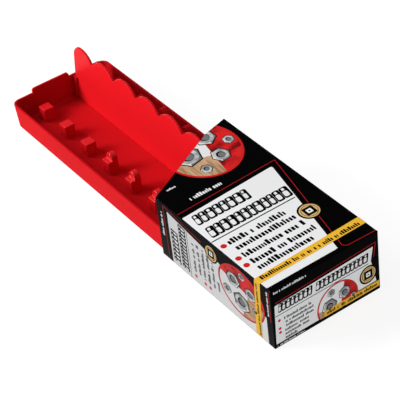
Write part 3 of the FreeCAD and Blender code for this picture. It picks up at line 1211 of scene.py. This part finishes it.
def number_plate(text, size, thickness):
    """A number as a thin closed mesh round its own middle."""
    type_line = bpy.data.curves.new("number", "FONT")
    type_line.body = text
    type_line.size = size
    type_line.align_x = "CENTER"
    type_line.align_y = "CENTER"
    type_line.resolution_u = 2
    type_line.extrude = thickness / 2
    carrier = new_object("number", type_line)
    mesh = evaluated(carrier)
    bpy.data.objects.remove(carrier)
    return mesh


def label_sheet(kind, sizes):
    """Two rows of labels and their numbers, in the place of one sheet's labels."""
    low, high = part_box(kind + "_size_labels")
    row_height = (high.y - low.y - label_gap) / 2
    label_width = (high.x - low.x + label_gap) / len(sizes) - label_gap
    labels, numbers = bmesh.new(), bmesh.new()
    for row in range(2):
        foot = low.y + row * (row_height + label_gap)
        settings = dict(row_defaults, Count=len(sizes), Length=high.x - low.x, High=row_height,
                        Gap=label_gap, Corner=label_round, Material=label_gloss,
                        Thickness=high.z - low.z - number_height)
        strip = grow("labels", blocks, settings)
        strip.transform(Matrix.Translation((low.x, foot, low.z)))
        labels.from_mesh(strip)
        for index, size in enumerate(sizes):
            type_size = fraction_type_size if len(size) > 3 else whole_type_size
            plate = number_plate(size, type_size, 2 * number_height)
            x = low.x + label_width / 2 + index * (label_width + label_gap)
            middle = (x, foot + row_height / 2, high.z - number_height)
            plate.transform(Matrix.Translation(middle))
            numbers.from_mesh(plate)
    bmesh.ops.remove_doubles(numbers, verts=numbers.verts, dist=same_point)
    for name, made, material in (("labels", labels, label_gloss), ("numbers", numbers, black_ink)):
        mesh = one_finish(name, made, material)
        replaced = [kind + "_size_labels"] if name == "labels" else []
        piece(kind + "_" + name, mesh, kind + "_sheet", "label_paper", *replaced)
    nodes[kind + "_label_liner"].material_slots[0].material = backing


label_sheet("inch", inch_sizes)
label_sheet("metric", metric_sizes)

# %% [markdown]
# Camera and light. The photograph looks down on the closed end from the right, with a long
# lens. The camera stands on a sphere round an aiming point: two angles, a distance and a small
# roll say it all. The light is two soft boxes in front and to the left, a weak one above, and
# white all round, so that the faces towards them are bright and the others fall off softly.

# %% Camera
aim = Vector((21.76, -2.81, 15.0)) * mm
camera_distance = 852.7 * mm
camera_azimuth = math.radians(58.919)
camera_elevation = math.radians(38.572)
camera_roll = math.radians(-7.283)
lens = 150.67


def photograph_camera():
    """A long lens that stands where the photograph was taken from."""
    data = bpy.data.cameras.new("camera")
    data.lens = lens
    data.sensor_width = 36.0
    data.clip_start = 10 * mm
    camera = new_object("camera", data)
    flat = math.cos(camera_elevation)
    back = Vector((
        math.sin(camera_azimuth) * flat,
        -math.cos(camera_azimuth) * flat,
        math.sin(camera_elevation),
    ))
    camera.location = aim + back * camera_distance
    camera.rotation_mode = "QUATERNION"
    roll = Quaternion((0.0, 0.0, 1.0), camera_roll)
    camera.rotation_quaternion = (-back).to_track_quat("-Z", "Y") @ roll
    bpy.context.scene.camera = camera
    return camera


camera = photograph_camera()
print("camera at", [round(value / mm, 1) for value in camera.location], "mm")

# %% Light and floor
# Each light's place and size in metres, and its power in watts.
lights = {
    "main light": ((-0.56, -0.96, 0.66), 0.5, 15.0),
    "bay light": ((-0.87, -0.61, 1.06), 0.4, 8.0),
    "top light": ((0.15, 0.0, 1.2), 0.8, 1.4),
}
white = (1.0, 1.0, 1.0, 1.0)
surround_strength = 0.2
floor_size = 6.0
floor_shade = (0.18, 0.18, 0.18)
floor_glow = 0.87
floor_cloud = 400 * mm


def soft_box(name, place, size, power):
    """A square light with soft edges that points at the middle of the view."""
    data = bpy.data.lights.new(name, "AREA")
    data.size = size
    data.energy = power
    made = new_object(name, data)
    made.location = place
    made.rotation_mode = "QUATERNION"
    made.rotation_quaternion = (aim - Vector(place)).to_track_quat("-Z", "Y")


def studio():
    """White surroundings, two lights in front on the left, one above, and a pale floor."""
    world = bpy.data.worlds.new("white room")
    world.use_nodes = True
    surround = world.node_tree.nodes["Background"]
    surround.inputs["Color"].default_value = white
    surround.inputs["Strength"].default_value = surround_strength
    bpy.context.scene.world = world
    for name, settings in lights.items():
        soft_box(name, *settings)
    bpy.ops.mesh.primitive_plane_add(size=floor_size)
    floor = bpy.context.object
    floor.name = "floor"
    material, graph, shader, place = finish("pale floor", floor_shade, 0.7)
    cloud = noise(graph, place, floor_cloud)
    graph.feed(shader.inputs["Roughness"], 0.65 + 0.1 * cloud)
    shader.inputs["Emission Color"].default_value = white
    shader.inputs["Emission Strength"].default_value = floor_glow
    floor.data.materials.append(material)
    bpy.context.scene.view_settings.view_transform = "Standard"


studio()
print("lights and floor are in place")
